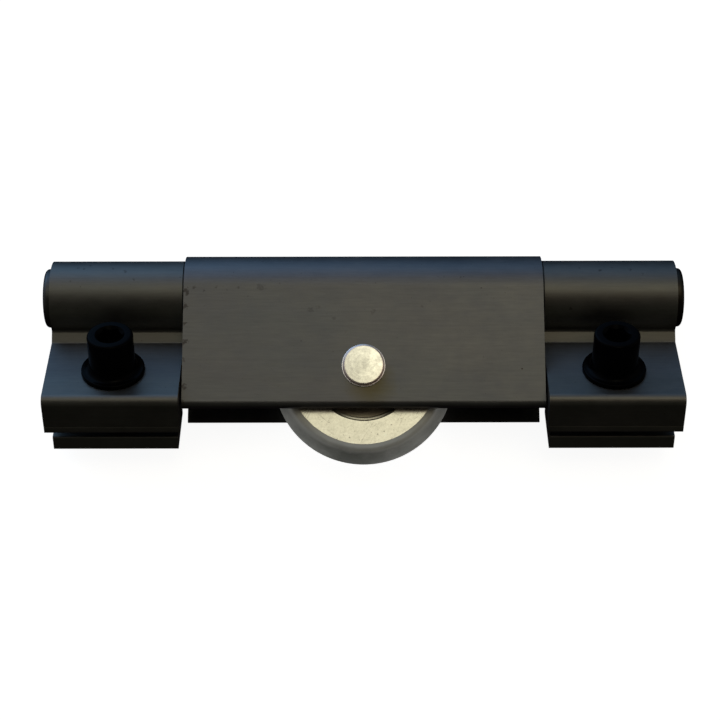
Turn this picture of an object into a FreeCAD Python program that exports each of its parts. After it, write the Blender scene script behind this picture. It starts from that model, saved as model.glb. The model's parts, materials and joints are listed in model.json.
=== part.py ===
import FreeCAD, Part
import math
import os

from FreeCAD import Vector

# Rail roller: a wheel in an inverted-U housing that hinges between two clamping end brackets.
# The roller lies on its back. X runs along the hinge, +Y points from the wheel to the hinge,
# and +Z points out of the housing's front face. Lengths are in millimetres.

# Roller housing: an extrusion with a round top and two legs
housing_length = 77.6
housing_width = 18.2
leg_wall = 2.0
leg_length = 26.4
leg_edge_round = 1.3
hinge_wall = 2.0
web_corner_round = 1.5

# Hinge pins, pressed into both ends of the housing
pin_dia = 10.0
pin_tip_chamfer = 0.8
pin_tip_margin = 6.8
pin_head_dia = 12.9
pin_head_thickness = 1.65
pin_head_round = 0.85

# Flanged bushes, held in the bracket barrels
bush_wall = 1.0
bush_flange_dia = 15.0
bush_flange_thickness = 0.35
bush_end_inset = 0.5

# End brackets: an extrusion with a barrel, a flat seat for the screw and a front lip
bracket_length = 28.8
barrel_dia = 16.2
seat_drop = 5.35
seat_bevel = 1.95
seat_bevel_fillet = 0.8
seat_corner_round = 0.4
base_thickness = 9.15
base_rear = 2.81
base_rear_fillet = 1.0
heel_round = 1.0
lip_front = 29.1
lip_top_round = 1.9
lip_edge_round = 0.4
lip_groove_height = 1.5
lip_groove_width = 0.4
lip_groove_depth = 0.12

# Clamp screws: M6 socket screws with an integral flange
screw_reach = 19.2
screw_thread_dia = 6.0
screw_hole_dia = 6.6
screw_tip_inset = 0.55
screw_tip_chamfer = 0.6
screw_height = 9.8
screw_head_dia = 9.8
screw_head_round = 0.6
screw_flange_dia = 13.6
screw_flange_thickness = 1.0
screw_flange_round = 0.35
screw_neck_round = 1.3
socket_flats = 5.0
socket_depth = 3.2
socket_mouth_dia = 6.3
socket_point = 0.8

# Clamp bars: threaded bars that draw up under the brackets
bar_length = 27.0
bar_width = 12.6
bar_thickness = 3.5
bar_edge_round = 0.4
clamp_gap = 4.0

# Wheel: a crowned tyre on a faced hub
axle_edge_distance = 8.9
tyre_dia = 39.3
tyre_width = 10.8
tyre_depth = 3.3
tyre_crown = 2.05
tyre_shoulder_round = 1.0
tyre_inner_round = 0.12
hub_width = 10.8
hub_bore_chamfer = 0.3
hub_shoulder_dia = 20.0
pocket_rim_clearance = 1.2
pocket_side_clearance = 0.9

# Ball bearing in the hub
bearing_bore = 8.0
bearing_dia = 22.0
bearing_width = 7.0
bearing_edge_round = 0.3
inner_shoulder_dia = 12.1
outer_shoulder_dia = 17.9
shield_recess_dia = 20.6
shield_recess_depth = 1.0
shield_thickness = 0.3
shield_set_back = 0.3
shield_dia = 20.5
shield_gap = 0.2
shield_bend = 0.25
ball_dia = 3.97
ball_pitch_dia = 15.0
ball_count = 7
race_conformity = 1.04
ribbon_width = 0.9
ribbon_thickness = 0.3

# Axle
axle_head_dia = 8.9
axle_head_height = 1.15
axle_head_round = 0.42
axle_head_crown = 0.12
axle_collar_dia = 9.25
axle_collar_height = 0.2
axle_collar_round = 0.17
axle_countersink = 0.8
axle_end_recess = 0.15
spacer_dia = 11.0

# Fits
running_clearance = 0.03
slip_clearance = 0.05
end_float = 0.05

# Derived sizes
housing_half = housing_length / 2
half_width = housing_width / 2
inner_half = half_width - leg_wall
pin_radius = pin_dia / 2
barrel_radius = barrel_dia / 2
bush_radius = pin_radius + running_clearance + bush_wall
bracket_inner = housing_half + end_float + bush_flange_thickness
bracket_outer = bracket_inner + bracket_length
bracket_middle = (bracket_inner + bracket_outer) / 2
base_bottom = -seat_drop - base_thickness
axle_radius = bearing_bore / 2
axle_drop = leg_length - axle_edge_distance
tyre_radius = tyre_dia / 2
hub_radius = tyre_radius - tyre_depth
bearing_half = bearing_width / 2
race_radius = race_conformity * ball_dia / 2
socket_corner_dia = socket_flats / math.cos(math.radians(30))

# The hinge axis lies at half the housing's width, and the object's outline is centred on Y
hinge_y = (axle_drop + tyre_radius - half_width) / 2
hinge_place = Vector(0, hinge_y, half_width)
axle_place = Vector(0, hinge_y - axle_drop, half_width)

# The brackets hang back about the hinge until the heel of the base meets the ground
heel_centre = Vector(base_rear + heel_round, base_bottom + heel_round, 0)
heel_bearing = math.atan2(heel_centre.y, heel_centre.x)
bracket_turn = heel_bearing - math.asin((heel_round - half_width) / heel_centre.Length)

SAME_POINT = 1e-6
ORIGIN = Vector(0, 0, 0)
ALONG_X = Vector(1, 0, 0)
ALONG_Y = Vector(0, 1, 0)
ALONG_Z = Vector(0, 0, 1)


def straight(start, end):
    return Part.LineSegment(start, end).toShape()


def arc(start, middle, end):
    return Part.Arc(start, middle, end).toShape()


def rounded_path(points, place):
    """Edges along points (p, q, corner radius), straight runs joined by tangent arcs."""
    flat = [Vector(p, q, 0) for p, q, radius in points]
    edges = []
    last = flat[0]
    for index in range(1, len(points) - 1):
        corner = flat[index]
        radius = points[index][2]
        back = (flat[index - 1] - corner).normalize()
        ahead = (flat[index + 1] - corner).normalize()
        half_angle = back.getAngle(ahead) / 2
        reach = radius / math.tan(half_angle)
        start = corner + back * reach
        if last.distanceToPoint(start) > SAME_POINT:
            edges.append(straight(place(last), place(start)))
        last = start
        if radius > 0:
            inward = (back + ahead).normalize()
            middle = corner + inward * (radius / math.sin(half_angle) - radius)
            last = corner + ahead * reach
            edges.append(arc(place(start), place(middle), place(last)))
    if last.distanceToPoint(flat[-1]) > SAME_POINT:
        edges.append(straight(place(last), place(flat[-1])))
    return edges


def closed_path(points, place):
    """The same for a closed outline that starts at a sharp corner or part-way along a side."""
    return rounded_path(points + [points[0]], place)


def extruded(edges, length):
    """A bar with the outline in edges, drawn along X."""
    return Part.Face(Part.Wire(edges)).extrude(Vector(length, 0, 0))


def half_section(flat):
    """Stands a point (radius, height) upright, in the plane that is turned about Z."""
    return Vector(flat.x, 0, flat.y)


def revolved(edges):
    return Part.Face(Part.Wire(edges)).revolve(ORIGIN, ALONG_Z, 360)


def turned(points):
    """A ring or pin about Z with the half-section (radius, height, corner radius)."""
    return revolved(closed_path(points, half_section))


def is_circle(edge, radius):
    return isinstance(edge.Curve, Part.Circle) and abs(edge.Curve.Radius - radius) < SAME_POINT


def along_hinge(shape, side):
    """Lays a piece turned about Z along the hinge, pointing to one side."""
    shape.rotate(ORIGIN, ALONG_Y, 90 * side)
    shape.translate(hinge_place)
    return shape


def with_bracket(shape):
    """Swings a piece from the bracket's own frame to its place about the hinge."""
    shape.rotate(ORIGIN, ALONG_X, math.degrees(bracket_turn))
    shape.translate(hinge_place)
    return shape


def with_axle(shape):
    shape.translate(axle_place)
    return shape


def span_from(side, inner, length):
    """The lower end along X of a length that starts at inner on one side."""
    return inner if side > 0 else -inner - length


def pocket_chord(drop):
    """Half the wheel pocket's width at a height below the hinge axis."""
    radius = tyre_radius + pocket_rim_clearance
    return math.sqrt(max(radius ** 2 - (axle_drop - drop) ** 2, 0))


def roller_housing():
    def place(flat):
        return Vector(-housing_half, flat.x, flat.y)

    outer = closed_path([
        (-leg_length, 0, 0),
        (-leg_length, half_width, leg_edge_round),
        (half_width, half_width, half_width),
        (half_width, -half_width, half_width),
        (-leg_length, -half_width, leg_edge_round),
    ], place)
    web = -pin_radius - hinge_wall
    slot_mouth = -leg_length - leg_wall
    slot = closed_path([
        (slot_mouth, 0, 0),
        (slot_mouth, inner_half, 0),
        (web, inner_half, web_corner_round),
        (web, -inner_half, web_corner_round),
        (slot_mouth, -inner_half, 0),
    ], place)
    bore = Part.makeCylinder(pin_radius, housing_length, Vector(-housing_half, 0, 0), ALONG_X)
    body = extruded(outer, housing_length).cut(extruded(slot, housing_length)).cut(bore)

    pocket_half = tyre_width / 2 + pocket_side_clearance
    pocket = Part.makeCylinder(tyre_radius + pocket_rim_clearance, 2 * pocket_half,
                               Vector(0, -axle_drop, -pocket_half))
    hole = Part.makeCylinder(axle_radius, housing_width, Vector(0, -axle_drop, -half_width))
    countersink = Part.makeCone(axle_radius + axle_countersink, axle_radius, axle_countersink,
                                Vector(0, -axle_drop, -half_width))
    body = body.cut(pocket).cut(hole).cut(countersink)
    body.translate(hinge_place)
    return body


def hinge_pin(side):
    tip = pocket_chord(pin_radius) + pin_tip_margin
    head = bracket_outer + end_float
    return along_hinge(turned([
        (0, tip, 0),
        (pin_radius - pin_tip_chamfer, tip, 0),
        (pin_radius, tip + pin_tip_chamfer, 0),
        (pin_radius, head, 0),
        (pin_head_dia / 2, head, 0),
        (pin_head_dia / 2, head + pin_head_thickness, pin_head_round),
        (0, head + pin_head_thickness, 0),
    ]), side)


def hinge_bush(side):
    bore = pin_radius + running_clearance
    face = housing_half + end_float
    end = bracket_outer - bush_end_inset
    return along_hinge(turned([
        (bore, face, 0),
        (bush_flange_dia / 2, face, 0),
        (bush_flange_dia / 2, bracket_inner, 0),
        (bush_radius, bracket_inner, 0),
        (bush_radius, end, 0),
        (bore, end, 0),
    ]), side)


def bracket_outline(place):
    """The bracket's section: the barrel, the bevel down to the seat, and the base with heel and lip."""
    bevel_top = -seat_drop + seat_bevel
    bevel_start = Vector(math.sqrt(barrel_radius ** 2 - bevel_top ** 2), bevel_top, 0)
    bevel_end = Vector(bevel_start.x + seat_bevel, -seat_drop, 0)
    bevel_down = (bevel_end - bevel_start).normalize()
    bevel_out = Vector(-bevel_down.y, bevel_down.x, 0)

    front_radius = barrel_radius + seat_bevel_fillet
    front_height = bevel_start.dot(bevel_out) + seat_bevel_fillet
    front_centre = bevel_out * front_height + bevel_down * math.sqrt(front_radius ** 2 - front_height ** 2)
    front_start = front_centre * (barrel_radius / front_radius)
    front_end = front_centre - bevel_out * seat_bevel_fillet

    rear_radius = barrel_radius + base_rear_fillet
    rear_reach = base_rear - base_rear_fillet
    rear_centre = Vector(rear_reach, -math.sqrt(rear_radius ** 2 - rear_reach ** 2), 0)
    rear_start = rear_centre * (barrel_radius / rear_radius)
    rear_end = Vector(base_rear, rear_centre.y, 0)

    def on_circle(centre, radius, first, second):
        return centre + (first + second - centre * 2).normalize() * radius

    barrel_back = (front_start + rear_start).normalize() * -barrel_radius
    front_middle = on_circle(front_centre, seat_bevel_fillet, front_start, front_end)
    rear_middle = on_circle(rear_centre, base_rear_fillet, rear_start, rear_end)
    base = rounded_path([
        (rear_end.x, rear_end.y, 0),
        (base_rear, base_bottom, heel_round),
        (lip_front, base_bottom, lip_edge_round),
        (lip_front, -seat_drop, lip_top_round),
        (bevel_end.x, bevel_end.y, seat_corner_round),
        (front_end.x, front_end.y, 0),
    ], place)
    return [
        arc(place(front_start), place(barrel_back), place(rear_start)),
        arc(place(rear_start), place(rear_middle), place(rear_end)),
        *base,
        arc(place(front_end), place(front_middle), place(front_start)),
    ]


def end_bracket(side):
    start = span_from(side, bracket_inner, bracket_length)

    def place(flat):
        return Vector(start, -flat.x, flat.y)

    body = extruded(bracket_outline(place), bracket_length)
    bore = Part.makeCylinder(bush_radius, bracket_length, Vector(start, 0, 0), ALONG_X)
    hole = Part.makeCylinder(screw_hole_dia / 2, base_thickness,
                             Vector(side * bracket_middle, -screw_reach, base_bottom))
    groove_low = base_bottom + lip_groove_height
    groove = closed_path([
        (lip_front, groove_low, 0),
        (lip_front, groove_low + lip_groove_width, 0),
        (lip_front - lip_groove_depth, groove_low + lip_groove_width / 2, 0),
    ], place)
    return with_bracket(body.cut(bore).cut(hole).cut(extruded(groove, bracket_length)))


def clamp_screw(side):
    tip = -base_thickness - clamp_gap - bar_thickness + screw_tip_inset
    thread = screw_thread_dia / 2
    head = screw_head_dia / 2
    body = turned([
        (0, tip, 0),
        (thread - screw_tip_chamfer, tip, 0),
        (thread, tip + screw_tip_chamfer, 0),
        (thread, 0, 0),
        (screw_flange_dia / 2, 0, 0),
        (screw_flange_dia / 2, screw_flange_thickness, screw_flange_round),
        (head, screw_flange_thickness, screw_neck_round),
        (head, screw_height, screw_head_round),
        (0, screw_height, 0),
    ])
    floor = screw_height - socket_depth
    corners = [Vector(socket_corner_dia / 2 * math.cos(math.radians(60 * step)),
                      socket_corner_dia / 2 * math.sin(math.radians(60 * step)), floor)
               for step in range(6)]
    socket = Part.Face(Part.makePolygon(corners + corners[:1])).extrude(Vector(0, 0, socket_depth))
    mouth_depth = (socket_mouth_dia - socket_flats) / 2
    mouth = Part.makeCone(socket_flats / 2, socket_mouth_dia / 2, mouth_depth,
                          Vector(0, 0, screw_height - mouth_depth))
    point = Part.makeCone(0, socket_flats / 2, socket_point, Vector(0, 0, floor - socket_point))
    body = body.cut(socket).cut(mouth).cut(point)
    body.translate(Vector(side * bracket_middle, -screw_reach, -seat_drop))
    return with_bracket(body)


def clamp_bar(side):
    start = side * bracket_middle - bar_length / 2
    front = screw_reach + bar_width / 2
    rear = screw_reach - bar_width / 2
    top = base_bottom - clamp_gap
    bottom = top - bar_thickness
    body = extruded(closed_path([
        (screw_reach, top, 0),
        (front, top, bar_edge_round),
        (front, bottom, bar_edge_round),
        (rear, bottom, bar_edge_round),
        (rear, top, bar_edge_round),
    ], lambda flat: Vector(start, -flat.x, flat.y)), bar_length)
    thread = Part.makeCylinder(screw_thread_dia / 2 + slip_clearance, bar_thickness,
                               Vector(side * bracket_middle, -screw_reach, bottom))
    return with_bracket(body.cut(thread))


def axle_pin():
    """A pin with a thin collar and a low crowned head in front, spread into a countersink behind."""
    rear = -half_width + axle_end_recess
    collar_top = half_width + axle_collar_height
    front = half_width + axle_head_height
    head = axle_head_dia / 2
    rim = head - axle_head_round
    side = rounded_path([
        (0, rear, 0),
        (axle_radius + axle_countersink - axle_end_recess, rear, 0),
        (axle_radius, -half_width + axle_countersink, 0),
        (axle_radius, half_width, 0),
        (axle_collar_dia / 2, half_width, 0),
        (axle_collar_dia / 2, collar_top, axle_collar_round),
        (head, collar_top, 0),
        (head, front, axle_head_round),
        (rim, front, 0),
    ], half_section)
    crown_radius = (rim ** 2 + axle_head_crown ** 2) / (2 * axle_head_crown)
    top = front + axle_head_crown
    crown_side = top - crown_radius + math.sqrt(crown_radius ** 2 - (rim / 2) ** 2)
    crown = arc(Vector(rim, 0, front), Vector(rim / 2, 0, crown_side), Vector(0, 0, top))
    return with_axle(revolved([*side, crown, straight(Vector(0, 0, top), Vector(0, 0, rear))]))


def axle_spacer(face):
    bore = axle_radius + slip_clearance
    return with_axle(turned([
        (bore, face * bearing_half, 0),
        (spacer_dia / 2, face * bearing_half, 0),
        (spacer_dia / 2, face * inner_half, 0),
        (bore, face * inner_half, 0),
    ]))


def wheel_tyre():
    """A ring with flat sides and a tread that is crowned in one arc from side to side."""
    edge = tyre_width / 2
    shoulder = tyre_radius - tyre_crown

    def side(face):
        return [(hub_radius, 0, 0), (hub_radius, face * edge, tyre_inner_round), (shoulder, face * edge, 0)]

    tread = arc(Vector(shoulder, 0, -edge), Vector(tyre_radius, 0, 0), Vector(shoulder, 0, edge))
    ring = revolved([
        *rounded_path(side(-1), half_section),
        tread,
        *rounded_path(side(1)[::-1], half_section),
    ])
    corners = [line for line in ring.Edges if is_circle(line, shoulder)]
    return with_axle(ring.makeFillet(tyre_shoulder_round, corners))


def wheel_hub():
    """A disc bored for the bearing, with a shoulder behind it and a chamfer in front."""
    face = hub_width / 2
    bore = bearing_dia / 2
    shoulder = hub_shoulder_dia / 2
    return with_axle(turned([
        (shoulder, -face + hub_bore_chamfer, 0),
        (shoulder + hub_bore_chamfer, -face, 0),
        (hub_radius, -face, 0),
        (hub_radius, face, 0),
        (bore + hub_bore_chamfer, face, 0),
        (bore, face - hub_bore_chamfer, 0),
        (bore, -bearing_half, 0),
        (shoulder, -bearing_half, 0),
    ]))


def race_groove(centre):
    return Part.makeTorus(centre, race_radius)


def bearing_outer_ring():
    recess = bearing_half - shield_recess_depth
    ring = turned([
        (outer_shoulder_dia / 2, 0, 0),
        (outer_shoulder_dia / 2, -recess, 0),
        (shield_recess_dia / 2, -recess, 0),
        (shield_recess_dia / 2, -bearing_half, 0),
        (bearing_dia / 2, -bearing_half, bearing_edge_round),
        (bearing_dia / 2, bearing_half, bearing_edge_round),
        (shield_recess_dia / 2, bearing_half, 0),
        (shield_recess_dia / 2, recess, 0),
        (outer_shoulder_dia / 2, recess, 0),
    ])
    race = (ball_pitch_dia + ball_dia) / 2 + running_clearance
    return with_axle(ring.cut(race_groove(race - race_radius)))


def bearing_inner_ring():
    ring = turned([
        (axle_radius, 0, 0),
        (axle_radius, -bearing_half, bearing_edge_round),
        (inner_shoulder_dia / 2, -bearing_half, bearing_edge_round),
        (inner_shoulder_dia / 2, bearing_half, bearing_edge_round),
        (axle_radius, bearing_half, bearing_edge_round),
    ])
    race = (ball_pitch_dia - ball_dia) / 2 - running_clearance
    return with_axle(ring.cut(race_groove(race + race_radius)))


def bearing_shield(face):
    """A pressed ring whose outer edge bends inwards on to the step in the outer ring."""
    outside = bearing_half - shield_set_back
    inside = outside - shield_thickness
    seat = bearing_half - shield_recess_depth
    bore = inner_shoulder_dia / 2 + shield_gap
    rim = shield_dia / 2
    return with_axle(turned([
        (bore, face * inside, 0),
        (bore, face * outside, 0),
        (rim, face * outside, shield_bend),
        (rim, face * seat, 0),
        (rim - shield_thickness, face * seat, 0),
        (rim - shield_thickness, face * inside, 0),
    ]))


def ball_places():
    turn = 2 * math.pi / ball_count
    return [Vector(ball_pitch_dia / 2 * math.cos(turn * step),
                   ball_pitch_dia / 2 * math.sin(turn * step), 0)
            for step in range(ball_count)]


def bearing_balls():
    return with_axle(Part.makeCompound([Part.makeSphere(ball_dia / 2, place)
                                        for place in ball_places()]))


def bearing_cage():
    """A ribbon round the pitch circle with a short radial sleeve round each ball."""
    pocket_radius = ball_dia / 2 + slip_clearance
    inner = (ball_pitch_dia - ribbon_width) / 2
    outer = (ball_pitch_dia + ribbon_width) / 2
    ribbon = turned([
        (inner, -ribbon_thickness, 0),
        (outer, -ribbon_thickness, 0),
        (outer, ribbon_thickness, 0),
        (inner, ribbon_thickness, 0),
    ])

    def radial_rods(radius, start, length):
        return [Part.makeCylinder(radius, length, place * (start / place.Length), place)
                for place in ball_places()]

    sleeves = radial_rods(pocket_radius + ribbon_thickness, inner, ribbon_width)
    pockets = radial_rods(pocket_radius, inner - ribbon_width, 3 * ribbon_width)
    return with_axle(ribbon.multiFuse(sleeves).cut(pockets))


def all_pieces():
    pieces = {
        "roller_housing": roller_housing(),
        "axle_pin": axle_pin(),
        "axle_spacer_front": axle_spacer(1),
        "axle_spacer_rear": axle_spacer(-1),
        "wheel_tyre": wheel_tyre(),
        "wheel_hub": wheel_hub(),
        "bearing_outer_ring": bearing_outer_ring(),
        "bearing_inner_ring": bearing_inner_ring(),
        "bearing_shield_front": bearing_shield(1),
        "bearing_shield_rear": bearing_shield(-1),
        "bearing_balls": bearing_balls(),
        "bearing_cage": bearing_cage(),
    }
    for name, side in (("left", -1), ("right", 1)):
        pieces["hinge_pin_" + name] = hinge_pin(side)
        pieces["hinge_bush_" + name] = hinge_bush(side)
        pieces["end_bracket_" + name] = end_bracket(side)
        pieces["clamp_screw_" + name] = clamp_screw(side)
        pieces["clamp_bar_" + name] = clamp_bar(side)
    return pieces


os.makedirs("parts", exist_ok=True)
for node, shape in all_pieces().items():
    shape.exportStep("parts/" + node + ".step")
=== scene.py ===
import json
import math

import bmesh
import bpy
from mathutils import Matrix, Vector


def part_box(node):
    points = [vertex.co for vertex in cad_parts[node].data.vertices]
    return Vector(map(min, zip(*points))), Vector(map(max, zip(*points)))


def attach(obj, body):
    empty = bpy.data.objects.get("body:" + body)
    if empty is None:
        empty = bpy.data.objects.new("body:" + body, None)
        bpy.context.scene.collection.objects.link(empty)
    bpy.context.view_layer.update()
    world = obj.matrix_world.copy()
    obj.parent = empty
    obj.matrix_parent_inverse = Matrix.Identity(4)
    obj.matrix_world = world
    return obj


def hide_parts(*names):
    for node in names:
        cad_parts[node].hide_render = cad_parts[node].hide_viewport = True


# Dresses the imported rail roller: cut threads, broken edges, finishes, light, floor and camera.
# Lengths are in millimetres where a name ends in _MM or _mm, and in metres elsewhere.
# Colours are linear red, green and blue.

MM = 0.001

# Camera, set to the photograph's view
CAMERA_TARGET_MM = (0.0, -2.005, 16.42)
CAMERA_DISTANCE_MM = 423.0
CAMERA_LEAN = math.radians(13.5)
CAMERA_ROLL = math.radians(0.1)
CAMERA_CLIP_MM = 10.0
FOCAL_PIXELS = 1971.0
IMAGE_PIXELS = 720.0
IMAGE_CENTRE = (363.6, 360.9)
SENSOR_MM = 36.0

# Turned pieces: faces round each one, and steps along each rounded corner
TURNED_SEGMENTS = 96
ROUND_STEPS = 5

# Clamp screws
SCREW_HEIGHT_MM = 9.8
HEAD_RADIUS_MM = 4.9
HEAD_ROUND_MM = 0.6
FLANGE_RADIUS_MM = 6.8
FLANGE_THICKNESS_MM = 1.0
FLANGE_ROUND_MM = 0.35
NECK_ROUND_MM = 1.3
SOCKET_FLATS_MM = 5.0
SOCKET_DEPTH_MM = 3.2
SOCKET_POINT_MM = 0.8
SOCKET_MOUTH_RADIUS_MM = 3.15
SHANK_LENGTH_MM = 16.1
THREAD_RADIUS_MM = 3.0
THREAD_ROOT_RADIUS_MM = 2.42
THREAD_PITCH_MM = 1.0
THREAD_RUNOUT_MM = 1.6
THREAD_SPARE_TURNS = 2
TIP_CHAMFER_MM = 0.6
SCREW_WELD_MM = 0.0001

# One turn of the thread's section, as (share of the pitch, share of the thread's height)
THREAD_SECTION = ((0.0, 0.0), (0.25, 0.0), (0.5625, 1.0), (0.6875, 1.0))

# The thin collar under the axle's head, as (radius, height) over the housing's face
AXLE_COLLAR_MM = ((4.44, 0.0), (4.44, 0.24), (4.60, 0.25), (4.67, 0.20), (4.71, 0.0))

# Edges of the sawn extrusions
EDGE_BREAK_MM = 0.12
EDGE_BREAK_STEPS = 2
EDGE_ANGLE = math.radians(35)
EDGE_WELD_MM = 0.0005
FLAT_WEIGHT = 100

# Floor and backdrop
FLOOR_SIZE = 8.0
FLOOR_DROP_MM = 0.05
FLOOR_GREYS = ((0.52, 0.52, 0.52), (0.56, 0.56, 0.56))
FLOOR_GLOW = (1.0, 1.0, 1.0)
FLOOR_GLOW_STRENGTH = 0.92
BACKDROP_GREY = (0.97, 0.97, 0.97)

# The room's light: the direction that each soft source lies in, how tightly it is gathered there, and
# its colour. It is white overhead and warmer to the right, cool and bright low on the far left, as from
# a window, and dim on both sides and behind the camera.
OVERHEAD = ((0.09, 0.27, 0.96), 40.0, (1.75, 1.77, 1.34))
WARM_RIGHT = ((0.35, 0.10, 0.93), 30.0, (0.24, 0.09, 0.01))
HIGH_FAR = ((-0.30, 0.68, 0.66), 12.0, (0.34, 0.21, 0.10))
WINDOW = ((-0.44, 0.86, 0.24), 8.5, (0.55, 1.08, 1.82))
FAR_RIGHT = ((0.50, 0.80, 0.30), 8.0, (0.05, 0.08, 0.12))
CAMERA_SIDE = ((0.0, -0.84, 0.54), 7.0, (0.036, 0.041, 0.026))
LEFT_WALL = ((-0.86, 0.20, 0.46), 6.0, (0.30, 0.30, 0.28))
RIGHT_WALL = ((0.86, 0.20, 0.46), 6.0, (0.28, 0.26, 0.22))
ROOM_LIGHTS = (OVERHEAD, WARM_RIGHT, HIGH_FAR, WINDOW, FAR_RIGHT, CAMERA_SIDE, LEFT_WALL, RIGHT_WALL)
DARK_ROOM = (0.010, 0.008, 0.009)

# Metals
HOUSING_TINT = (0.144, 0.142, 0.144)
BRACKET_TINT = (0.138, 0.134, 0.124)
BAR_TINT = (0.160, 0.160, 0.145)
# Painted light and shade: one steel, lighter on the left pin as if lit from the left, darker on the right.
LEFT_PIN_LIT_TINT = (0.085, 0.084, 0.082)
RIGHT_PIN_SHADED_TINT = (0.034, 0.030, 0.024)
HUB_TINT = (0.91, 0.87, 0.78)
AXLE_TINT = (0.92, 0.88, 0.82)
COLLAR_TINT = (0.90, 0.86, 0.90)
BEARING_TINT = (0.48, 0.45, 0.40)
SHIELD_TINT = (0.48, 0.43, 0.34)
OXIDE_TINTS = ((0.0008, 0.0008, 0.0012), (0.005, 0.005, 0.007))

# The anodising drifts between two hues. Specks of grime lie on it, and the channel between the housing's
# legs keeps only part of its brightness as painted shade.
ANODISED_HUES = ((0.985, 1.0, 1.0), (1.015, 1.0, 0.99))
GRIME_TINT = (0.022, 0.012, 0.009)
CHANNEL_SHADE_LEVEL = 0.4

# The channel: the place of its rear and front walls along Z and of its end along Y, the depths in each
# wall between which its painted shade fades, and how far it fades towards the end
HOUSING_CHANNEL_MM = (2.0, 16.2, 4.0)
CHANNEL_WALL_FADE_MM = (0.1, 0.8)
CHANNEL_END_FADE_MM = 1.0

# Specks of grime: the noise at which they start and are full, and how much they cover
SPECK_NOISE = (0.74, 0.79)
SPECK_COVER = 0.4

# Handling marks: the share of a mark's radius that is its core, what is added to the noise at its core and
# at its edge, and the noise at which its specks start and are full
MARK_CORE = 0.2
MARK_PULL = (0.20, -0.15)
MARK_NOISE = (0.55, 0.67)

# The brackets' barrels, which carry marks
BARREL_RADIUS_MM = 8.1

# The seats under the screws, which are more matt and tinted cooler as a painted reflection: the distances
# from the hinge they lie between, how far they fade at each end, and how much rougher they are
SEAT_START_MM = 10.0
SEAT_END_MM = 23.5
SEAT_FADES_MM = (2.0, 4.0)
SEAT_ROUGHER = 0.14
SEAT_PAINTED_SHEEN = (0.99, 1.06, 1.18)

# A warmer, darker patch round and below the axle's head: its middle from the axle, where it starts to fade
# and where it ends, and how ragged its edge is
WARM_PATCH_MIDDLE_MM = (1.6, -4.0)
WARM_PATCH_FULL_MM = 1.5
WARM_PATCH_END_MM = 6.0
WARM_PATCH_RAGGED_MM = 0.5
WARM_PATCH_TINT = (0.84, 0.74, 0.47)

# Scratches on the hub: cells to the metre, shift, turn in degrees, and the noise at which each one starts.
# Scratches and dents keep a share of the brightness, and the rings' height is a share of their depth.
HUB_SCRATCHES = (
    ((190, 4200, 300), (0.3, 0.1, 0.0), -62, 0.60),
    ((240, 4600, 300), (0.7, 0.2, 0.0), -35, 0.62),
    ((260, 5200, 300), (0.1, 0.6, 0.0), 38, 0.63),
)
SCRATCH_FADE = 0.10
SCRATCH_LEVEL = 0.72
DENT_LEVEL = 0.50
HUB_RING_HEIGHT = 0.15

# The axle's bright face, the darker middle of it as radii between which it fades, and the duller edge
AXLE_MIDDLE_MM = (0.3, 2.6)
AXLE_MIDDLE_LEVEL = 0.75
AXLE_FACE_RADIUS_MM = 4.05
AXLE_EDGE_FADE_MM = 0.1
AXLE_EDGE_TINT = (0.92, 0.76, 0.70)
AXLE_EDGE_ROUGHNESS = 0.42

# Moulded pieces, each from a dark to a light colour
TYRE_TINTS = ((0.215, 0.219, 0.203), (0.355, 0.358, 0.336))
BUSH_TINTS = ((0.010, 0.010, 0.011), (0.022, 0.022, 0.023))

# Painted shade on the tyre's lower part: where it is darkest from the axle, how far it reaches, the shares
# of that reach that are its core and its ragged edge, and how much it covers
LOW_SHADE_MIDDLE_MM = (-2.5, -18.5)
LOW_SHADE_REACH_MM = 14.0
LOW_SHADE_CORE = 0.15
LOW_SHADE_RAGGED = 0.12
LOW_SHADE_COVER = 0.60
LOW_SHADE_TINT = (0.035, 0.040, 0.028)

# A paler ring on the tyre's flank beside the hub: the middle of the ring that it makes from the axle, the
# radius where it starts to fade, the radius where it ends, and how ragged its edge is
FLANK_MIDDLE_MM = (0.0, 0.6)
FLANK_FULL_MM = 17.6
FLANK_END_MM = 18.9
FLANK_RAGGED_MM = 0.25
FLANK_TINT = (0.57, 0.57, 0.535)

# The part of a noise's range that most of it lies in
NOISE_LOW = 0.3
NOISE_HIGH = 0.7

# Axes to measure along: away from a line along Z, and away from a line along X
ABOUT_Z = (1, 1, 0)
ABOUT_X = (0, 1, 1)

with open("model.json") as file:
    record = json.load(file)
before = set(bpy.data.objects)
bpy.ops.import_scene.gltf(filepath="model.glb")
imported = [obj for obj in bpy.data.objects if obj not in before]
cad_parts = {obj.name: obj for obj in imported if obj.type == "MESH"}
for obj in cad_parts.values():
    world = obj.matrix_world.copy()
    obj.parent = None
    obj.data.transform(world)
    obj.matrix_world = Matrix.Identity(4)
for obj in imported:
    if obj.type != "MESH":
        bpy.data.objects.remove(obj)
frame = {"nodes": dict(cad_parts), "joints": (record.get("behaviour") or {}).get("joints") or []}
nodes = frame["nodes"]
joints = {joint["name"]: joint for joint in frame["joints"]}
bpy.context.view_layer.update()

# Points on the axle, and on the line along X that both hinges share
axle = joints["wheel_spin"]["pos_m"]
hinge = joints["bracket_left_swing"]["pos_m"]
front_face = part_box("roller_housing")[1][2]


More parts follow.
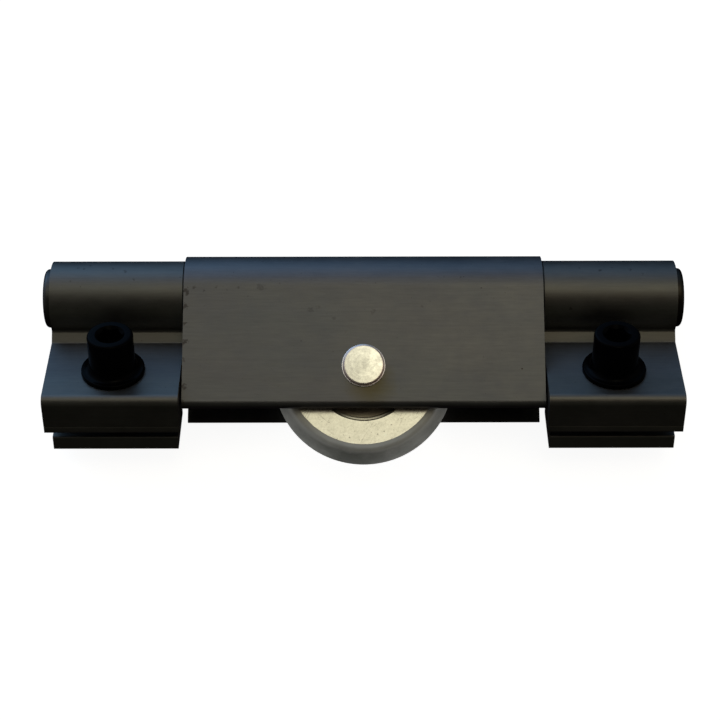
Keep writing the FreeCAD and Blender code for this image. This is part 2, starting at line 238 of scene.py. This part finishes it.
class NodeTree:
    """A node tree, with short names for the nodes that are added to it."""

    def __init__(self, tree):
        self.tree = tree

    def add(self, kind, **settings):
        node = self.tree.nodes.new(kind)
        for setting, value in settings.items():
            setattr(node, setting, value)
        return node

    def feed(self, socket, value):
        """Links a socket to another one, or sets it to a number, a vector or a colour."""
        if isinstance(value, bpy.types.NodeSocket):
            self.tree.links.new(value, socket)
        elif socket.type == "RGBA":
            socket.default_value = (*value, 1)
        else:
            socket.default_value = value

    def join(self, kind, *values, **settings):
        """The outputs of a new node with these values on its first sockets."""
        node = self.add(kind, **settings)
        for socket, value in zip(node.inputs, values):
            self.feed(socket, value)
        return node.outputs

    def math(self, operation, first, *others):
        """Values joined by one operation, from left to right."""
        for other in others:
            first = self.join("ShaderNodeMath", first, other, operation=operation)[0]
        return first

    def vector(self, operation, *values):
        return self.join("ShaderNodeVectorMath", *values, operation=operation)

    def mix(self, factor, first, second, blend="MIX"):
        """Two colours, which have sockets 6 and 7 of a Mix node and its output 2."""
        node = self.add("ShaderNodeMix", data_type="RGBA", blend_type=blend)
        self.feed(node.inputs[0], factor)
        self.feed(node.inputs[6], first)
        self.feed(node.inputs[7], second)
        return node.outputs[2]


class Finish(NodeTree):
    """A Principled material, with short names for the nodes that feed its sockets."""

    def __init__(self, name, **constants):
        self.material = bpy.data.materials.new(name)
        self.material.use_nodes = True
        super().__init__(self.material.node_tree)
        self.shader = self.tree.nodes["Principled BSDF"]
        for socket, value in constants.items():
            self.to(socket.replace("_", " "), value)
        self.object_place = self.add("ShaderNodeTexCoord").outputs["Object"]

    def to(self, name, value):
        self.feed(self.shader.inputs[name], value)

    def placed(self, scale, shift=(0, 0, 0), turn=0):
        """The piece's own coordinates in metres, turned about Z, shifted, then scaled along each axis."""
        turned = self.object_place
        if turn:
            turner = self.add("ShaderNodeVectorRotate", rotation_type="Z_AXIS")
            self.feed(turner.inputs["Vector"], turned)
            self.feed(turner.inputs["Angle"], math.radians(turn))
            turned = turner.outputs[0]
        return self.vector("MULTIPLY", self.vector("ADD", turned, shift)[0], scale)[0]

    def noise(self, place, detail=2.0, roughness=0.5, distortion=0.0):
        node = self.add("ShaderNodeTexNoise")
        self.feed(node.inputs["Vector"], place)
        self.feed(node.inputs["Scale"], 1.0)
        self.feed(node.inputs["Detail"], detail)
        self.feed(node.inputs["Roughness"], roughness)
        self.feed(node.inputs["Distortion"], distortion)
        return node.outputs["Fac"]

    def grain(self, cells, shift=(0, 0, 0), turn=0, **settings):
        """Noise with so many cells to the metre, the same along each axis or three numbers."""
        scale = cells if isinstance(cells, tuple) else (cells, cells, cells)
        return self.noise(self.placed(scale, shift, turn), **settings)

    def rings(self, radius, cells, **settings):
        """Noise in rings, with so many cells to the metre of radius."""
        place = self.join("ShaderNodeCombineXYZ", self.math("MULTIPLY", radius, cells))[0]
        return self.noise(place, **settings)

    def remap(self, value, low, high, to_low=0.0, to_high=1.0):
        return self.join("ShaderNodeMapRange", value, low, high, to_low, to_high)[0]

    def swing(self, noise, low, high):
        """A noise spread between two values."""
        return self.remap(noise, NOISE_LOW, NOISE_HIGH, low, high)

    def keep(self, mask, share):
        """One where a mask is zero, and a share of it where the mask is one."""
        return self.remap(mask, 0.0, 1.0, 1.0, share)

    def tinted(self, colour, tint, mask=1.0):
        return self.mix(mask, colour, tint, "MULTIPLY")

    def bump(self, height, depth_mm, strength):
        node = self.add("ShaderNodeBump")
        self.feed(node.inputs["Height"], height)
        self.feed(node.inputs["Distance"], depth_mm * MM)
        self.feed(node.inputs["Strength"], strength)
        self.to("Normal", node.outputs[0])

    def distance_from(self, centre, along=(1, 1, 1)):
        """Metres from a point, with axes left out where along is zero."""
        place = self.placed(along, tuple(-value for value in centre))
        return self.vector("LENGTH", place)["Value"]


def beside_axle(offset_mm, z):
    """A point at an offset from the axle across the wheel, at a height."""
    return (axle[0] + offset_mm[0] * MM, axle[1] + offset_mm[1] * MM, z)


def on_face(x_mm, y_mm, radius_mm, depth):
    """A mark on the housing's front face: its middle, radius and depth of colour."""
    return (x_mm * MM, y_mm * MM, front_face), radius_mm * MM, depth


def on_barrel(x_mm, degrees, radius_mm, depth):
    """A mark on a bracket's barrel, at an angle from straight up towards the far side."""
    angle = math.radians(degrees)
    middle = (x_mm * MM, hinge[1] + BARREL_RADIUS_MM * math.sin(angle) * MM,
              hinge[2] + BARREL_RADIUS_MM * math.cos(angle) * MM)
    return middle, radius_mm * MM, depth


HOUSING_MARKS = (
    on_face(-38.2, 13.0, 1.5, 0.60),
    on_face(-38.4, 9.8, 1.3, 0.55),
    on_face(-38.5, 6.0, 1.1, 0.50),
    on_face(-38.3, 1.8, 1.2, 0.60),
    on_face(-38.5, -2.2, 0.9, 0.45),
    on_face(-38.4, -8.0, 1.3, 0.60),
    on_face(-38.5, -11.2, 0.9, 0.45),
    on_face(-22.2, 13.9, 1.7, 0.22),
    on_face(-11.4, 8.9, 1.3, 0.22),
    on_face(-9.6, 9.4, 0.9, 0.20),
    on_face(2.1, 8.6, 1.1, 0.22),
    on_face(-6.3, 7.0, 0.8, 0.22),
    on_face(12.6, 9.6, 0.8, 0.22),
    on_face(33.8, -4.2, 0.50, 1.0),
    on_face(25.4, 13.7, 0.30, 0.60),
    on_face(-36.5, 13.9, 0.8, 0.40),
    on_face(-34.4, 13.2, 0.6, 0.35),
    on_face(-31.8, 13.9, 0.7, 0.35),
    on_face(-29.5, 13.4, 0.5, 0.30),
    on_face(-27.0, 13.8, 0.6, 0.30),
)
LEFT_MARKS = (
    on_barrel(-62.1, 40, 0.7, 0.45),
    on_barrel(-60.8, 37, 0.6, 0.45),
    on_barrel(-59.5, 45, 0.7, 0.40),
    on_barrel(-54.5, 37, 0.5, 0.45),
    on_barrel(-51.7, 30, 0.8, 0.40),
    on_barrel(-49.7, 15, 0.6, 0.35),
    on_barrel(-63.5, 13, 0.5, 0.35),
)
RIGHT_MARKS = (
    on_barrel(47.0, 37, 0.5, 0.50),
    on_barrel(51.4, 31, 0.7, 0.50),
    on_barrel(54.0, 38, 0.6, 0.45),
    on_barrel(57.9, 33, 0.8, 0.40),
    on_barrel(60.5, 24, 0.6, 0.40),
    on_barrel(44.9, -33, 0.6, 0.50),
)


def channel_shade_mask(finish):
    """A mask of the painted shade in the channel between the housing's legs, open towards -Y."""
    rear, front, end = (value * MM for value in HOUSING_CHANNEL_MM)
    near, far = (value * MM for value in CHANNEL_WALL_FADE_MM)
    _, y, z = finish.join("ShaderNodeSeparateXYZ", finish.object_place)
    return finish.math("MULTIPLY", finish.remap(z, rear - far, rear - near),
                       finish.remap(z, front + near, front + far, 1.0, 0.0),
                       finish.remap(y, end - CHANNEL_END_FADE_MM * MM, end, 1.0, 0.0))


def seat_finish_and_sheen(finish):
    """A mask of the seat under a clamp screw, which is rougher and tinted cooler as a painted reflection.
    """
    reach = finish.distance_from(hinge, ABOUT_X)
    start, end = SEAT_START_MM * MM, SEAT_END_MM * MM
    start_fade, end_fade = (value * MM for value in SEAT_FADES_MM)
    return finish.math("MULTIPLY", finish.remap(reach, start, start + start_fade),
                       finish.remap(reach, end - end_fade, end, 1.0, 0.0))


def warm_patch_mask(finish, mottle):
    """A mask of the warmer, darker patch round the axle's head."""
    ragged = finish.swing(mottle, -WARM_PATCH_RAGGED_MM * MM, WARM_PATCH_RAGGED_MM * MM)
    reach = finish.math("ADD", finish.distance_from(beside_axle(WARM_PATCH_MIDDLE_MM, front_face)), ragged)
    return finish.remap(reach, WARM_PATCH_FULL_MM * MM, WARM_PATCH_END_MM * MM, 1.0, 0.0)


def anodised(name, tint, shift, marks=(), channel=False, seat=False, axle_patch=False):
    """Satin anodised extrusion: broken lines drawn along X, mottled handling marks, specks of grime,
    painted shade in the channel, a painted cool reflection on the seats and a warmer, darker patch by the
    axle.
    """
    finish = Finish(name, Metallic=1.0)
    fine = finish.grain((240, 2900, 2900), shift, detail=3)
    broad = finish.grain((20, 1500, 1500), shift, detail=2)
    mottle = finish.grain((330, 420, 420), shift, detail=5, roughness=0.65)
    cloud = finish.grain((70, 90, 90), shift, detail=3, roughness=0.55)
    hue = finish.grain((45, 70, 70), tuple(0.5 - value for value in shift), detail=3)
    speck = finish.grain((1300, 1700, 1700), shift, detail=2, roughness=0.4)
    grit = finish.grain((1700, 2100, 2100), shift, detail=4, roughness=0.6)

    level = finish.math("ADD", finish.swing(fine, -0.05, 0.05), finish.swing(broad, -0.03, 0.03),
                        finish.swing(mottle, -0.06, 0.06), finish.swing(cloud, 0.94, 1.06))
    if channel:
        # Painted shade: the channel between the housing's legs is darkened.
        level = finish.math("MULTIPLY", level, finish.keep(channel_shade_mask(finish), CHANNEL_SHADE_LEVEL))
    dark = finish.remap(speck, *SPECK_NOISE, 0.0, SPECK_COVER)
    for centre, radius, depth in marks:
        near = finish.remap(finish.distance_from(centre), MARK_CORE * radius, radius, *MARK_PULL)
        gathered = finish.remap(finish.math("ADD", grit, near), *MARK_NOISE, 0.0, depth)
        dark = finish.math("MAXIMUM", dark, gathered)
    colour = finish.mix(finish.remap(hue, 0.35, 0.65), *ANODISED_HUES)
    colour = finish.tinted(finish.tinted(colour, tint), level)
    rough = finish.math("ADD", finish.swing(cloud, 0.42, 0.49), finish.swing(mottle, -0.03, 0.03))
    if seat:
        seat_area = seat_finish_and_sheen(finish)
        rough = finish.math("ADD", rough, finish.math("MULTIPLY", seat_area, SEAT_ROUGHER))
        # Painted reflection: the seat is tinted cooler.
        colour = finish.tinted(colour, SEAT_PAINTED_SHEEN, seat_area)
    if axle_patch:
        # A warmer, darker patch round and below the axle's head.
        colour = finish.tinted(colour, WARM_PATCH_TINT, warm_patch_mask(finish, mottle))
    finish.to("Base Color", finish.mix(dark, colour, GRIME_TINT))
    finish.to("Roughness", rough)
    finish.bump(fine, depth_mm=0.004, strength=0.5)
    return finish.material


def bare_hub(name):
    """Bright turned aluminium with fine rings, cross scratches and small dents."""
    finish = Finish(name, Metallic=1.0)
    rings = finish.rings(finish.distance_from(axle, ABOUT_Z), 3000, detail=3)
    cloud = finish.grain(800, detail=6, roughness=0.75)
    grain = finish.grain(2300, (0.9, 0.4, 0.6), detail=3, roughness=0.6)
    patch = finish.grain(330, (0.6, 0.3, 0.2), detail=3)
    dents = finish.remap(finish.grain(1500, (0.2, 0.5, 0.1), detail=1), 0.70, 0.77)
    lines = []
    for cells, shift, turn, start in HUB_SCRATCHES:
        line = finish.grain(cells, shift, turn, detail=1, distortion=0.3)
        lines.append(finish.remap(line, start, start + SCRATCH_FADE))
    scratches = finish.math("MULTIPLY", finish.math("MAXIMUM", *lines), finish.remap(patch, 0.47, 0.60))
    level = finish.math("MULTIPLY", finish.swing(cloud, 0.70, 1.18), finish.swing(rings, 0.98, 1.02),
                        finish.swing(grain, 0.90, 1.08), finish.keep(dents, DENT_LEVEL),
                        finish.keep(scratches, SCRATCH_LEVEL))
    finish.to("Base Color", finish.tinted(HUB_TINT, level))
    finish.to("Roughness", finish.swing(cloud, 0.27, 0.36))
    height = finish.math("SUBTRACT", finish.math("MULTIPLY", rings, HUB_RING_HEIGHT), scratches, dents)
    finish.bump(height, depth_mm=0.008, strength=0.4)
    return finish.material


def turned_steel(name, tint, rough):
    """Bright steel turned about the axle: fine rings, dull stains, and a duller edge."""
    finish = Finish(name, Metallic=1.0)
    radius = finish.distance_from(axle, ABOUT_Z)
    middle_start, middle_end = (value * MM for value in AXLE_MIDDLE_MM)
    rings = finish.rings(radius, 2300, detail=3, roughness=0.6)
    stain = finish.grain(1100, (0.4, 0.1, 0.3), detail=4, roughness=0.65)
    level = finish.math("MULTIPLY", finish.swing(rings, 0.86, 1.08),
                        finish.remap(stain, 0.35, 0.75, 1.03, 0.89),
                        finish.remap(radius, middle_start, middle_end, AXLE_MIDDLE_LEVEL, 1.0))
    edge = finish.remap(radius, AXLE_FACE_RADIUS_MM * MM, (AXLE_FACE_RADIUS_MM + AXLE_EDGE_FADE_MM) * MM)
    finish.to("Base Color", finish.mix(edge, finish.tinted(tint, level), AXLE_EDGE_TINT))
    finish.to("Roughness", finish.math("MAXIMUM", finish.swing(stain, *rough),
                                       finish.math("MULTIPLY", edge, AXLE_EDGE_ROUGHNESS)))
    finish.bump(rings, depth_mm=0.008, strength=0.5)
    return finish.material


def plain_metal(name, tint, rough, cells, spread=0.08):
    """Steel with an even fine grain and a cloudy finish."""
    finish = Finish(name, Metallic=1.0)
    speckle = finish.grain(cells, detail=3, roughness=0.6)
    cloud = finish.grain(260, detail=3)
    level = finish.math("MULTIPLY", finish.swing(speckle, 1 - spread, 1 + spread),
                        finish.swing(cloud, 1 - spread, 1 + spread))
    finish.to("Base Color", finish.tinted(tint, level))
    finish.to("Roughness", finish.swing(cloud, *rough))
    finish.bump(speckle, depth_mm=0.004, strength=0.5)
    return finish.material


def black_oxide(name):
    """Oiled black oxide on the screws, slightly worn to grey on fine specks."""
    finish = Finish(name, IOR=1.5, Specular_IOR_Level=0.025)
    speckle = finish.grain(2600, detail=3, roughness=0.6)
    cloud = finish.grain(300, (0.2, 0.4, 0.1), detail=3)
    worn = finish.remap(speckle, 0.66, 0.80, 0.0, 0.5)
    finish.to("Base Color", finish.mix(worn, *OXIDE_TINTS))
    finish.to("Roughness", finish.swing(cloud, 0.15, 0.25))
    finish.bump(speckle, depth_mm=0.006, strength=0.4)
    return finish.material


def tyre_low_shade_mask(finish, cloud):
    """A mask of the painted shade on the tyre's lower part."""
    reach = LOW_SHADE_REACH_MM * MM
    ragged = finish.swing(cloud, -LOW_SHADE_RAGGED * reach, LOW_SHADE_RAGGED * reach)
    middle = beside_axle(LOW_SHADE_MIDDLE_MM, axle[2])
    distance = finish.math("ADD", finish.distance_from(middle, ABOUT_Z), ragged)
    return finish.remap(distance, LOW_SHADE_CORE * reach, reach, LOW_SHADE_COVER, 0.0)


def pale_flank_ring(finish, cloud):
    """A mask of the paler ring on the tyre's flank beside the hub."""
    ragged = finish.swing(cloud, -FLANK_RAGGED_MM * MM, FLANK_RAGGED_MM * MM)
    middle = beside_axle(FLANK_MIDDLE_MM, axle[2])
    radius = finish.math("ADD", finish.distance_from(middle, ABOUT_Z), ragged)
    return finish.remap(radius, FLANK_FULL_MM * MM, FLANK_END_MM * MM, 1.0, 0.0)


def moulded(name, tints, rough, cells, tyre=False):
    """Moulded plastic or rubber with a cloudy colour and a fine matt grain, and on a tyre painted shade
    towards the bottom and a paler flank ring.
    """
    finish = Finish(name, IOR=1.5)
    cloud = finish.grain(240, (0.1, 0.3, 0.2), detail=4, roughness=0.6)
    speckle = finish.grain(cells, detail=3, roughness=0.6)
    blend = finish.math("ADD", finish.swing(cloud, 0.0, 0.75), finish.swing(speckle, 0.0, 0.25))
    colour = finish.mix(blend, *tints)
    if tyre:
        # Painted shade: the tyre is darker towards the bottom.
        colour = finish.mix(tyre_low_shade_mask(finish, cloud), colour, LOW_SHADE_TINT)
        # A paler ring on the tyre's flank beside the hub.
        colour = finish.mix(pale_flank_ring(finish, cloud), colour, FLANK_TINT)
    finish.to("Base Color", colour)
    finish.to("Roughness", finish.swing(cloud, *rough))
    finish.bump(speckle, depth_mm=0.01, strength=0.35)
    return finish.material


def put_on(material, *names):
    for name in names:
        slots = nodes[name].data.materials
        slots.clear()
        slots.append(material)


def finish_nodes():
    put_on(anodised("anodised_housing", HOUSING_TINT, shift=(0.0, 0.0, 0.0), marks=HOUSING_MARKS,
                    channel=True, axle_patch=True), "roller_housing")
    put_on(anodised("anodised_bracket_left", BRACKET_TINT, shift=(0.31, 0.12, 0.07), marks=LEFT_MARKS,
                    seat=True), "end_bracket_left")
    put_on(anodised("anodised_bracket_right", BRACKET_TINT, shift=(0.73, 0.42, 0.17), marks=RIGHT_MARKS,
                    seat=True), "end_bracket_right")
    put_on(anodised("anodised_bars", BAR_TINT, shift=(0.13, 0.22, 0.37)),
           "clamp_bar_left", "clamp_bar_right")
    # Painted light and shade: lighter steel on the left pin, darker on the right.
    put_on(plain_metal("pin_steel_left_painted_lit", LEFT_PIN_LIT_TINT, rough=(0.34, 0.46), cells=2400),
           "hinge_pin_left")
    put_on(plain_metal("pin_steel_right_painted_shade", RIGHT_PIN_SHADED_TINT, rough=(0.34, 0.46), cells=2400),
           "hinge_pin_right")
    put_on(moulded("bush_acetal", BUSH_TINTS, rough=(0.40, 0.52), cells=2600),
           "hinge_bush_left", "hinge_bush_right")
    put_on(turned_steel("axle_steel", AXLE_TINT, rough=(0.22, 0.32)),
           "axle_pin", "axle_spacer_front", "axle_spacer_rear")
    put_on(moulded("tyre_urethane", TYRE_TINTS, rough=(0.38, 0.50), cells=1800, tyre=True),
           "wheel_tyre")
    put_on(bare_hub("hub_aluminium"), "wheel_hub")
    put_on(plain_metal("ring_steel", BEARING_TINT, rough=(0.24, 0.34), cells=3000),
           "bearing_outer_ring", "bearing_inner_ring", "bearing_balls")
    put_on(plain_metal("shield_steel", SHIELD_TINT, rough=(0.34, 0.46), cells=2600, spread=0.14),
           "bearing_shield_front", "bearing_shield_rear", "bearing_cage")


def break_edges(*names):
    """Rounds the sharp cut edges of an extrusion by a hair, with even shading on its flats."""
    for name in names:
        piece = nodes[name]
        weld = piece.modifiers.new("weld", "WELD")
        weld.merge_threshold = EDGE_WELD_MM * MM
        bevel = piece.modifiers.new("edge_break", "BEVEL")
        bevel.width = EDGE_BREAK_MM * MM
        bevel.segments = EDGE_BREAK_STEPS
        bevel.limit_method = "ANGLE"
        bevel.angle_limit = EDGE_ANGLE
        normals = piece.modifiers.new("flat_shading", "WEIGHTED_NORMAL")
        normals.weight = FLAT_WEIGHT


def place(name, data):
    """Adds an object to the scene."""
    piece = bpy.data.objects.new(name, data)
    bpy.context.scene.collection.objects.link(piece)
    return piece


def turned_angle(step):
    return 2 * math.pi * step / TURNED_SEGMENTS


def ring_of(build, points, centre=(0.0, 0.0, 0.0)):
    """Corners of a ring about a line along Z, from one (radius, height) in millimetres for each step."""
    corners = []
    for step, (radius, height) in enumerate(points):
        angle = turned_angle(step)
        corners.append(build.verts.new((centre[0] + radius * math.cos(angle) * MM,
                                        centre[1] + radius * math.sin(angle) * MM,
                                        centre[2] + height * MM)))
    return corners


def skin(build, rings):
    """Faces from each ring to the next."""
    for first, second in zip(rings, rings[1:]):
        for step in range(TURNED_SEGMENTS):
            build.faces.new((first[step - 1], first[step], second[step], second[step - 1]))


def mesh_from(build, name, material):
    """A mesh of a closed shape, smooth but for its sharp edges."""
    bmesh.ops.recalc_face_normals(build, faces=build.faces)
    mesh = bpy.data.meshes.new(name)
    build.to_mesh(mesh)
    build.free()
    mesh.shade_smooth()
    mesh.set_sharp_from_angle(angle=EDGE_ANGLE)
    mesh.materials.append(material)
    return mesh


def rounded(centre, radius, start, end):
    """Points on an arc in the (radius, height) plane, from one angle to another in degrees."""
    points = []
    for step in range(ROUND_STEPS + 1):
        angle = math.radians(start + (end - start) * step / ROUND_STEPS)
        points.append((centre[0] + radius * math.cos(angle), centre[1] + radius * math.sin(angle)))
    return points


def hexagon_radius(angle):
    """Distance from the socket's axis to its wall, with a corner at angle zero."""
    within = math.fmod(angle, math.radians(60)) - math.radians(30)
    return SOCKET_FLATS_MM / 2 / math.cos(within)


def head_rings():
    """Rings of (radius, height) by angle, from the socket's floor out and down to the thread."""
    floor = SCREW_HEIGHT_MM - SOCKET_DEPTH_MM
    cone = SCREW_HEIGHT_MM - SOCKET_MOUTH_RADIUS_MM
    head_corner = (HEAD_RADIUS_MM - HEAD_ROUND_MM, SCREW_HEIGHT_MM - HEAD_ROUND_MM)
    neck_corner = (HEAD_RADIUS_MM + NECK_ROUND_MM, FLANGE_THICKNESS_MM + NECK_ROUND_MM)
    flange_corner = (FLANGE_RADIUS_MM - FLANGE_ROUND_MM, FLANGE_THICKNESS_MM - FLANGE_ROUND_MM)
    outline = [
        (SOCKET_MOUTH_RADIUS_MM, SCREW_HEIGHT_MM),
        *rounded(head_corner, HEAD_ROUND_MM, 90, 0),
        *rounded(neck_corner, NECK_ROUND_MM, 180, 270),
        *rounded(flange_corner, FLANGE_ROUND_MM, 90, 0),
        (FLANGE_RADIUS_MM, 0.0),
    ]
    walls = [hexagon_radius(turned_angle(step)) for step in range(TURNED_SEGMENTS)]
    rings = [
        [(SOCKET_FLATS_MM / 2, floor)] * TURNED_SEGMENTS,
        [(wall, floor) for wall in walls],
        [(wall, cone + wall) for wall in walls],
    ]
    return rings + [[point] * TURNED_SEGMENTS for point in outline]


def thread_rings():
    """Rings that climb with the helix, held between the flange and the tip."""
    tip = -SHANK_LENGTH_MM
    turns = math.ceil(SHANK_LENGTH_MM / THREAD_PITCH_MM) + THREAD_SPARE_TURNS
    rings = []
    for turn in range(turns):
        for along, rise in THREAD_SECTION:
            ring = []
            for step in range(TURNED_SEGMENTS):
                climb = THREAD_PITCH_MM * (step / TURNED_SEGMENTS - along - turn)
                height = min(max(climb, tip), 0.0)
                full = min(-height / THREAD_RUNOUT_MM, 1.0)
                depth = (THREAD_RADIUS_MM - THREAD_ROOT_RADIUS_MM) * (1.0 - rise) * full
                chamfer = THREAD_RADIUS_MM - TIP_CHAMFER_MM + height - tip
                ring.append((min(THREAD_RADIUS_MM - depth, chamfer), height))
            rings.append(ring)
    return rings


def skin_thread(build, rings):
    """Faces from each ring of the thread to the next, where the last step joins the next turn's first."""
    turn = len(THREAD_SECTION)
    for index in range(len(rings) - 1):
        upper, lower = rings[index:index + 2]
        for step in range(1, TURNED_SEGMENTS):
            build.faces.new((upper[step - 1], upper[step], lower[step], lower[step - 1]))
        if index + turn + 1 < len(rings):
            next_upper, next_lower = rings[index + turn:index + turn + 2]
            build.faces.new((upper[-1], next_upper[0], next_lower[0], lower[-1]))


def screw_mesh():
    """A clamp screw about +Z, with the underside of its flange at the origin."""
    build = bmesh.new()
    head = [ring_of(build, points) for points in head_rings()]
    thread = [ring_of(build, points) for points in thread_rings()]
    socket_point = build.verts.new((0, 0, (SCREW_HEIGHT_MM - SOCKET_DEPTH_MM - SOCKET_POINT_MM) * MM))
    for step in range(TURNED_SEGMENTS):
        build.faces.new((socket_point, head[0][step], head[0][step - 1]))
    skin(build, head + thread[:1])
    skin_thread(build, thread)
    bmesh.ops.remove_doubles(build, verts=build.verts, dist=SCREW_WELD_MM * MM)
    bmesh.ops.holes_fill(build, edges=[edge for edge in build.edges if edge.is_boundary])
    return mesh_from(build, "clamp_screw", black_oxide("screw_black_oxide"))


def add_screws():
    axis = Vector(joints["screw_left_turn"]["axis"]).normalized()
    along = Vector((1, 0, 0))
    mesh = screw_mesh()
    mesh.transform(Matrix((along, axis.cross(along), axis)).transposed().to_4x4())
    for side in ("left", "right"):
        screw = place("threaded_screw_" + side, mesh)
        screw.location = joints["screw_%s_turn" % side]["pos_m"]
        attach(screw, "screw_" + side)
        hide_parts("clamp_screw_" + side)


def add_axle_collar():
    """The thin satin collar that the axle's head sits in."""
    build = bmesh.new()
    centre = (axle[0], axle[1], front_face)
    rings = [ring_of(build, [point] * TURNED_SEGMENTS, centre) for point in AXLE_COLLAR_MM]
    skin(build, rings + rings[:1])
    satin = plain_metal("collar_satin", COLLAR_TINT, rough=(0.30, 0.38), cells=2600)
    collar = place("axle_collar", mesh_from(build, "axle_collar", satin))
    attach(collar, "housing")


def add_floor():
    """A pale matt floor that lights the object's outline but isn't mirrored in its metal."""
    half = FLOOR_SIZE / 2
    drop = -FLOOR_DROP_MM * MM
    mesh = bpy.data.meshes.new("floor")
    mesh.from_pydata([(-half, -half, drop), (half, -half, drop), (half, half, drop), (-half, half, drop)],
                     [], [(0, 1, 2, 3)])
    finish = Finish("floor_paper", Roughness=0.9, Emission_Color=FLOOR_GLOW,
                    Emission_Strength=FLOOR_GLOW_STRENGTH)
    finish.to("Base Color", finish.mix(finish.grain(9, detail=3), *FLOOR_GREYS))
    mesh.materials.append(finish.material)
    floor = place("floor", mesh)
    floor.visible_glossy = False


def add_room_light():
    """Soft light from all round, with an even pale backdrop where the camera sees past the floor."""
    world = bpy.data.worlds.new("room")
    bpy.context.scene.world = world
    world.use_nodes = True
    room = NodeTree(world.node_tree)
    direction = room.add("ShaderNodeTexCoord").outputs["Generated"]
    light = DARK_ROOM
    for towards, tightness, colour in ROOM_LIGHTS:
        facing = room.vector("DOT_PRODUCT", direction, tuple(Vector(towards).normalized()))["Value"]
        spread = room.join("ShaderNodeMath", facing, tightness, -tightness, operation="MULTIPLY_ADD")[0]
        level = room.join("ShaderNodeMath", spread, operation="EXPONENT")[0]
        light = room.vector("MULTIPLY_ADD", level, colour, light)["Vector"]
    seen = room.add("ShaderNodeLightPath").outputs["Is Camera Ray"]
    room.feed(room.tree.nodes["Background"].inputs["Color"], room.mix(seen, light, BACKDROP_GREY))


def add_camera():
    lens = bpy.data.cameras.new("camera")
    lens.sensor_width = SENSOR_MM
    lens.lens = FOCAL_PIXELS / IMAGE_PIXELS * SENSOR_MM
    lens.shift_x = (IMAGE_PIXELS / 2 - IMAGE_CENTRE[0]) / IMAGE_PIXELS
    lens.shift_y = (IMAGE_CENTRE[1] - IMAGE_PIXELS / 2) / IMAGE_PIXELS
    lens.clip_start = CAMERA_CLIP_MM * MM
    camera = place("camera", lens)
    back = Vector((0, -math.sin(CAMERA_LEAN), math.cos(CAMERA_LEAN)))
    stand = (Vector(CAMERA_TARGET_MM) + back * CAMERA_DISTANCE_MM) * MM
    tilt = Matrix.Rotation(CAMERA_LEAN, 4, "X")
    roll = Matrix.Rotation(-CAMERA_ROLL, 4, "Z")
    camera.matrix_world = Matrix.Translation(stand) @ tilt @ roll
    bpy.context.scene.camera = camera


finish_nodes()
break_edges("roller_housing", "end_bracket_left", "end_bracket_right", "clamp_bar_left", "clamp_bar_right")
add_axle_collar()
add_screws()
add_floor()
add_room_light()
add_camera()
bpy.context.scene.view_settings.view_transform = "Standard"
